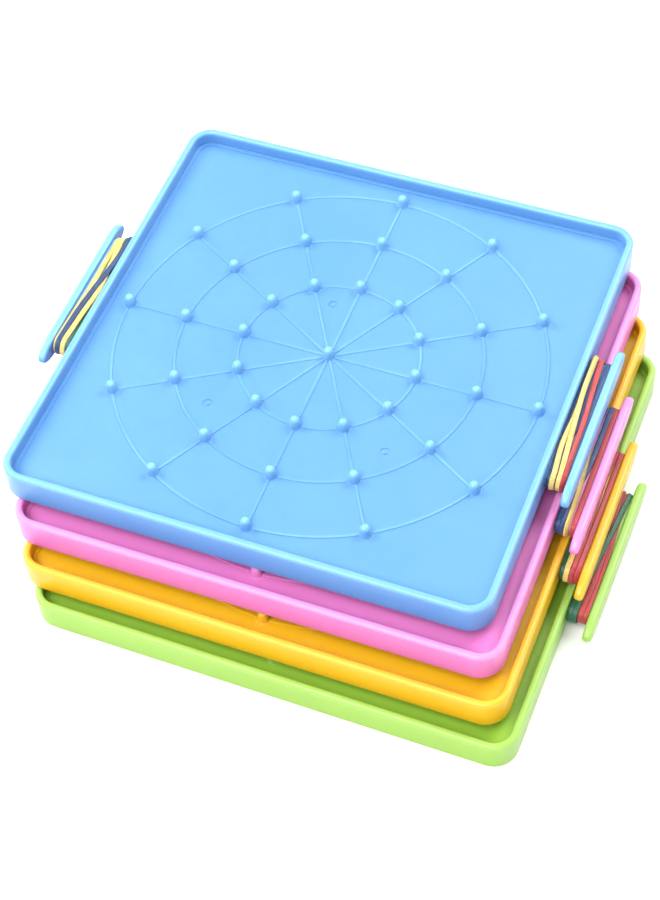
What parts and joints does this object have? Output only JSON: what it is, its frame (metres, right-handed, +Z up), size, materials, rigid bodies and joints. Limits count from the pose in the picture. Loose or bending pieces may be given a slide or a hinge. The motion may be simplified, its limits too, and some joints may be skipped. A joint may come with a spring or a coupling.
{
  "type": "geoboard set",
  "caption": "Staggered stack of square plastic geoboards, with pegs in rings inside a raised rim and rubber bands wound on side winders. Upper boards lift off.",
  "frame": {"origin": "middle of the stack's bounding box, on the surface that the lowest board rests on", "axes": "+X to the right through the side winders, +Y to the back, +Z up"},
  "size_m": [0.2442, 0.2284, 0.0568],
  "materials": {
    "blue_plastic": "glossy injection-moulded polypropylene, slightly translucent",
    "pink_plastic": "glossy injection-moulded polypropylene, slightly translucent",
    "yellow_plastic": "glossy injection-moulded polypropylene, slightly translucent",
    "green_plastic": "glossy injection-moulded polypropylene, slightly translucent",
    "yellow_rubber": "thin cut rubber band, satin",
    "red_rubber": "thin cut rubber band, satin",
    "blue_rubber": "thin cut rubber band, satin",
    "green_rubber": "thin cut rubber band, satin"
  },
  "bodies": {
    "green_body": {"green_board": "green_plastic", "green_left_band_1": "yellow_rubber", "green_left_band_2": "red_rubber", "green_left_band_3": "green_rubber", "green_left_band_4": "blue_rubber", "green_right_band_1": "yellow_rubber", "green_right_band_2": "green_rubber", "green_right_band_3": "green_rubber", "green_right_band_4": "red_rubber"},
    "yellow_body": {"yellow_board": "yellow_plastic", "yellow_left_band_1": "blue_rubber", "yellow_left_band_2": "red_rubber", "yellow_left_band_3": "yellow_rubber", "yellow_left_band_4": "green_rubber", "yellow_right_band_1": "green_rubber", "yellow_right_band_2": "yellow_rubber", "yellow_right_band_3": "red_rubber", "yellow_right_band_4": "yellow_rubber"},
    "pink_body": {"pink_board": "pink_plastic", "pink_left_band_1": "red_rubber", "pink_left_band_2": "yellow_rubber", "pink_left_band_3": "green_rubber", "pink_left_band_4": "blue_rubber", "pink_right_band_1": "blue_rubber", "pink_right_band_2": "yellow_rubber", "pink_right_band_3": "blue_rubber", "pink_right_band_4": "red_rubber"},
    "blue_body": {"blue_board": "blue_plastic", "blue_left_band_1": "green_rubber", "blue_left_band_2": "yellow_rubber", "blue_left_band_3": "yellow_rubber", "blue_left_band_4": "blue_rubber", "blue_right_band_1": "yellow_rubber", "blue_right_band_2": "yellow_rubber", "blue_right_band_3": "red_rubber", "blue_right_band_4": "blue_rubber"}
  },
  "joints": [
    {"name": "yellow_lift", "type": "slide", "parent": "green_body", "child": "yellow_body", "axis": [0, 0, 1], "range_m": [0, 0.06]},
    {"name": "pink_lift", "type": "slide", "parent": "yellow_body", "child": "pink_body", "axis": [0, 0, 1], "range_m": [0, 0.06]},
    {"name": "blue_lift", "type": "slide", "parent": "pink_body", "child": "blue_body", "axis": [0, 0, 1], "range_m": [0, 0.06]}
  ]
}
